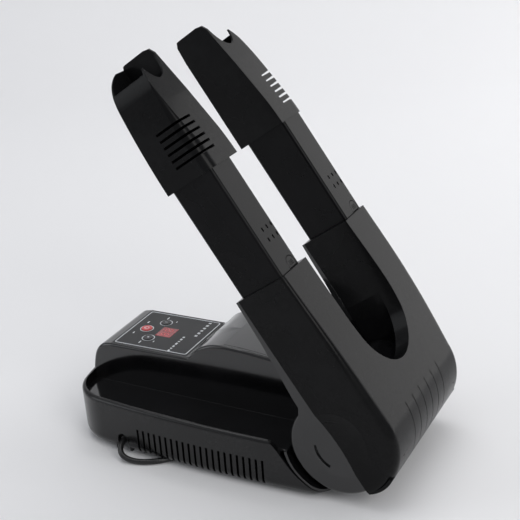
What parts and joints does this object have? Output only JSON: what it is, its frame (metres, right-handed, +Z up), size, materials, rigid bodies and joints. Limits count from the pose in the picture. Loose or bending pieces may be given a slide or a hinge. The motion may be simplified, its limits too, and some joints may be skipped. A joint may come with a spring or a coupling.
{
  "type": "boot dryer",
  "caption": "Electric boot dryer: a blower and heater base, a folding hinged fork, and telescoping warm air tubes with slotted nozzle heads that stand inside a pair of boots.",
  "frame": {"origin": "on the surface it stands on, under the middle of the object without its cord", "axes": "+X from the control panel towards the hinge, +Y across along the hinge axis, +Z up"},
  "size_m": [0.3128, 0.1859, 0.3506],
  "materials": {
    "satin_black": "satin fine texture",
    "tray_black": "satin",
    "gloss_black": "high gloss",
    "panel_black": "satin printed film",
    "red_window": "translucent tint",
    "red_button": "gloss",
    "grey_button": "satin",
    "board_green": "solder mask",
    "component": "moulded",
    "display_grey": "diffuser",
    "inner_plastic": "moulded",
    "white_nylon": "moulded",
    "steel": "plated",
    "spring_steel": "bright",
    "aluminium_fins": "rolled",
    "mica": "mica board",
    "brass": "nickel-free",
    "rubber_black": "matt",
    "cord_black": "glossy PVC"
  },
  "bodies": {
    "base": {"base_tray": "tray_black", "upper_housing": "gloss_black", "hump_plate": "gloss_black", "control_overlay": "panel_black", "display_window": "red_window", "display_module": "display_grey", "control_board": "board_green", "tact_switches": "component", "board_screws": "steel", "power_board": "board_green", "power_board_parts": "component", "blower_scroll": "inner_plastic", "blower_cover": "inner_plastic", "blower_motor": "steel", "heater_frame": "mica", "heater_element": "aluminium_fins", "thermal_cutout": "component", "air_duct": "inner_plastic", "air_trunnion_left": "white_nylon", "air_trunnion_right": "white_nylon", "friction_washers": "white_nylon", "wave_washers": "spring_steel", "rubber_feet": "rubber_black", "base_screws": "steel", "cord_strain_relief": "rubber_black", "power_cord_lead": "cord_black", "power_cord_coil": "cord_black", "power_cord_end": "cord_black", "power_plug": "rubber_black", "plug_pins": "brass"},
    "blower_rotor": {"impeller": "white_nylon", "impeller_shaft": "steel"},
    "power_key": {"power_button": "red_button"},
    "timer_key": {"timer_button": "grey_button"},
    "mode_key": {"mode_button": "grey_button"},
    "fork": {"fork_front_shell": "satin_black", "fork_rear_shell_left": "gloss_black", "fork_rear_shell_right": "gloss_black", "fork_screws": "steel"},
    "left_tube": {"tube_left": "gloss_black", "nozzle_head_left": "satin_black"},
    "right_tube": {"tube_right": "gloss_black", "nozzle_head_right": "satin_black"},
    "left_latch": {"tube_latch_left": "satin_black", "latch_leaf_left": "spring_steel"},
    "right_latch": {"tube_latch_right": "satin_black", "latch_leaf_right": "spring_steel"}
  },
  "joints": [
    {"name": "fork_fold", "type": "hinge", "parent": "base", "child": "fork", "pos_m": [0.10746, 0, 0.052], "axis": [0, 1, 0], "range_deg": [-55, 5]},
    {"name": "left_tube_slide", "type": "slide", "parent": "fork", "child": "left_tube", "axis": [-0.5736, 0, 0.8192], "range_m": [-0.097, 0]},
    {"name": "right_tube_slide", "type": "slide", "parent": "fork", "child": "right_tube", "axis": [-0.5736, 0, 0.8192], "range_m": [-0.097, 0]},
    {"name": "left_latch_press", "type": "slide", "parent": "left_tube", "child": "left_latch", "axis": [-0.8192, 0, -0.5736], "range_m": [0, 0.0022], "stiffness_N_per_m": 400, "springref_m": -0.0005},
    {"name": "right_latch_press", "type": "slide", "parent": "right_tube", "child": "right_latch", "axis": [-0.8192, 0, -0.5736], "range_m": [0, 0.0022], "stiffness_N_per_m": 400, "springref_m": -0.0005},
    {"name": "power_press", "type": "slide", "parent": "base", "child": "power_key", "axis": [0.0182, 0, -0.9998], "range_m": [0, 0.0006], "stiffness_N_per_m": 900, "springref_m": -0.0002},
    {"name": "timer_press", "type": "slide", "parent": "base", "child": "timer_key", "axis": [0.0182, 0, -0.9998], "range_m": [0, 0.0006], "stiffness_N_per_m": 900, "springref_m": -0.0002},
    {"name": "mode_press", "type": "slide", "parent": "base", "child": "mode_key", "axis": [0.0182, 0, -0.9998], "range_m": [0, 0.0006], "stiffness_N_per_m": 900, "springref_m": -0.0002},
    {"name": "impeller_spin", "type": "hinge", "parent": "base", "child": "blower_rotor", "pos_m": [-0.00454, 0, 0.032], "axis": [0, 0, 1], "continuous": true}
  ]
}
